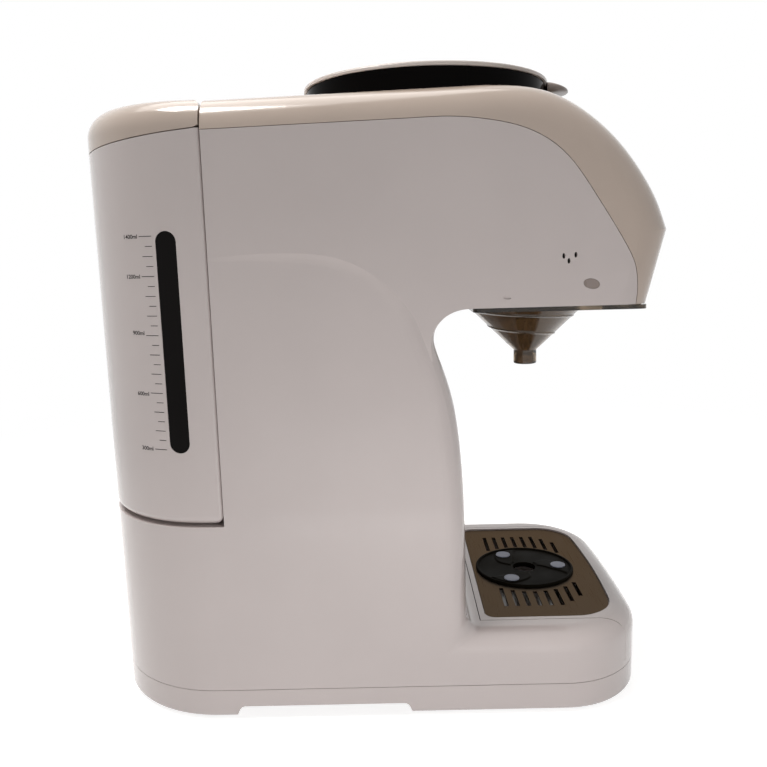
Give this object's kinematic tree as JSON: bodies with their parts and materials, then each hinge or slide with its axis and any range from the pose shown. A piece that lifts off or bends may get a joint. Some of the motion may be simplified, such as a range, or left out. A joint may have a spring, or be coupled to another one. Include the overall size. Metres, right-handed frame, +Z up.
{
  "type": "baby formula maker",
  "caption": "Countertop formula mixing machine: rear water tank with level window, round powder canister in the head, hanging mixing funnel and a drip tray to stand a bottle on.",
  "frame": {"origin": "bottom centre of the whole machine, on the floor plane of the feet", "axes": "+X across the machine, -Y the front where the bottle stands, +Z up"},
  "size_m": [0.194, 0.3298, 0.3704],
  "materials": {
    "white_shell": "gloss",
    "greige": "gloss",
    "taupe": "satin",
    "lid_grey": "satin",
    "grey_moulding": "matte",
    "smoked": "gloss, smoked",
    "dark_window": "gloss",
    "pale_moulding": "matte",
    "motor_metal": "satin",
    "silicone": "soft",
    "spring_steel": "bright",
    "panel_black": "gloss",
    "circuit": "satin",
    "heater_metal": "satin",
    "pump_body": "matte",
    "plate_steel": "brushed, dark bronze",
    "disc_black": "satin",
    "pad_silicone": "soft",
    "key_white": "satin",
    "foot_rubber": "matte"
  },
  "bodies": {
    "housing": {"body_shell": "white_shell", "top_cover": "greige", "base_cover": "white_shell", "canister_bay": "grey_moulding", "head_frame": "grey_moulding", "side_plug": "taupe", "gear_motor": "motor_metal", "tank_socket": "grey_moulding", "socket_seal": "silicone", "guide_left": "grey_moulding", "guide_right": "grey_moulding", "control_panel": "panel_black", "display_window": "panel_black", "control_board": "circuit", "chassis": "grey_moulding", "heater": "heater_metal", "pump": "pump_body", "power_board": "circuit", "inlet_hose": "silicone", "feed_hose": "silicone", "hot_hose": "silicone", "water_nozzle": "grey_moulding", "buzzer": "pump_body", "power_inlet": "pump_body", "foot_1": "foot_rubber", "foot_2": "foot_rubber", "foot_3": "foot_rubber", "foot_4": "foot_rubber", "base_screw_1": "spring_steel", "base_screw_2": "spring_steel", "base_screw_3": "spring_steel", "base_screw_4": "spring_steel"},
    "tank": {"water_tank": "white_shell", "level_window": "dark_window", "tank_outlet": "pale_moulding", "valve_spring": "spring_steel", "valve_cap": "pale_moulding"},
    "tank_cover": {"tank_lid": "greige", "hinge_pin": "spring_steel"},
    "valve": {"valve_poppet": "pale_moulding"},
    "drive": {"drive_dog": "pale_moulding"},
    "canister": {"canister_bowl": "smoked", "canister_base": "smoked"},
    "dosing": {"dosing_wheel": "pale_moulding", "stirrer": "pale_moulding"},
    "canister_cover": {"canister_lid": "lid_grey", "lid_seal": "silicone", "lid_tab": "taupe"},
    "mixing_drawer": {"funnel_drawer": "smoked", "funnel": "smoked"},
    "tray": {"drip_tray": "white_shell"},
    "grille": {"drip_plate": "plate_steel", "drip_disc": "disc_black", "disc_pad_1": "pad_silicone", "disc_pad_2": "pad_silicone", "disc_pad_3": "pad_silicone"},
    "button_1": {"key_1": "key_white"},
    "button_2": {"key_2": "key_white"},
    "button_3": {"key_3": "key_white"},
    "button_4": {"key_4": "key_white"}
  },
  "joints": [
    {"name": "tank_lift", "type": "slide", "parent": "housing", "child": "tank", "axis": [0, 0, 1], "range_m": [0, 0.25]},
    {"name": "tank_lid_hinge", "type": "hinge", "parent": "tank", "child": "tank_cover", "pos_m": [0, 0.092, 0.3462], "axis": [1, 0, 0], "range_deg": [0, 90]},
    {"name": "valve_lift", "type": "slide", "parent": "tank", "child": "valve", "axis": [0, 0, 1], "range_m": [0, 0.003], "stiffness_N_per_m": 150, "springref_m": -0.002, "deforming": ["valve_spring"]},
    {"name": "canister_lift", "type": "slide", "parent": "housing", "child": "canister", "axis": [0, 0, 1], "range_m": [0, 0.12]},
    {"name": "wheel_spin", "type": "hinge", "parent": "canister", "child": "dosing", "pos_m": [0, -0.0365, 0.3], "axis": [0, 0, 1], "continuous": true},
    {"name": "drive_spin", "type": "hinge", "parent": "housing", "child": "drive", "pos_m": [0, -0.0365, 0.29], "axis": [0, 0, 1], "continuous": true},
    {"name": "canister_lid_lift", "type": "slide", "parent": "canister", "child": "canister_cover", "axis": [0, 0, 1], "range_m": [0, 0.06]},
    {"name": "drawer_slide", "type": "slide", "parent": "housing", "child": "mixing_drawer", "axis": [0, -1, 0], "range_m": [0, 0.11]},
    {"name": "tray_slide", "type": "slide", "parent": "housing", "child": "tray", "axis": [0, -1, 0], "range_m": [0, 0.11]},
    {"name": "plate_lift", "type": "slide", "parent": "tray", "child": "grille", "axis": [0, 0, 1], "range_m": [0, 0.04]},
    {"name": "key_1_press", "type": "slide", "parent": "housing", "child": "button_1", "axis": [0, 0.8119, -0.5838], "range_m": [0, 0.0008], "stiffness_N_per_m": 900},
    {"name": "key_2_press", "type": "slide", "parent": "housing", "child": "button_2", "axis": [0, 0.8119, -0.5838], "range_m": [0, 0.0008], "stiffness_N_per_m": 900},
    {"name": "key_3_press", "type": "slide", "parent": "housing", "child": "button_3", "axis": [0, 0.8119, -0.5838], "range_m": [0, 0.0008], "stiffness_N_per_m": 900},
    {"name": "key_4_press", "type": "slide", "parent": "housing", "child": "button_4", "axis": [0, 0.8119, -0.5838], "range_m": [0, 0.0008], "stiffness_N_per_m": 900}
  ],
  "couplings": [
    {"joint": "drive_spin", "follows": "wheel_spin", "ratio": 1}
  ]
}
